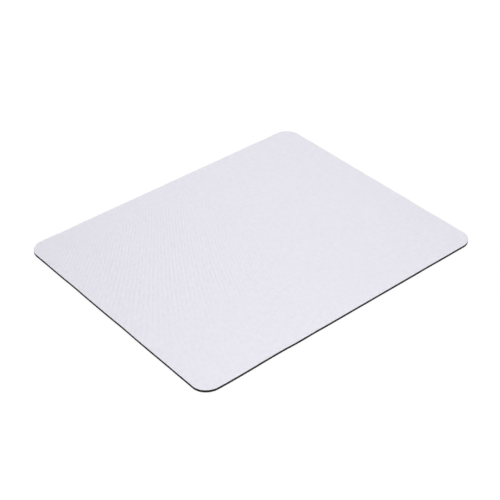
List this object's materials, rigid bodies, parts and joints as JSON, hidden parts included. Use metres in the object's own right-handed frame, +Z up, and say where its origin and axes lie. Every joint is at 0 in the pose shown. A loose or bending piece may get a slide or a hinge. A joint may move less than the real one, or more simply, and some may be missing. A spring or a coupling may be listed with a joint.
{
  "type": "mouse pad",
  "caption": "Thin flat rectangular desk mouse pad with rounded corners: a white knitted cloth face bonded to a black foam rubber base with a raw die-cut edge.",
  "frame": {"origin": "middle of the underside, on the plane that the pad rests on", "axes": "+X along the long side, +Y along the short side away from the user, +Z up through the cloth face"},
  "size_m": [0.26, 0.21, 0.0022],
  "materials": {
    "foam_rubber": "matt black foamed rubber with fine open cells on the cut edge and a moulded grip pattern underneath",
    "bond_film": "dark melted adhesive film, seen only as a hairline at the cut edge",
    "knitted_cloth": "matt white fine-gauge knitted polyester with a faint cool cast"
  },
  "bodies": {
    "root": {"rubber_base": "foam_rubber", "bond_film": "bond_film", "cloth_face": "knitted_cloth"}
  },
  "joints": []
}
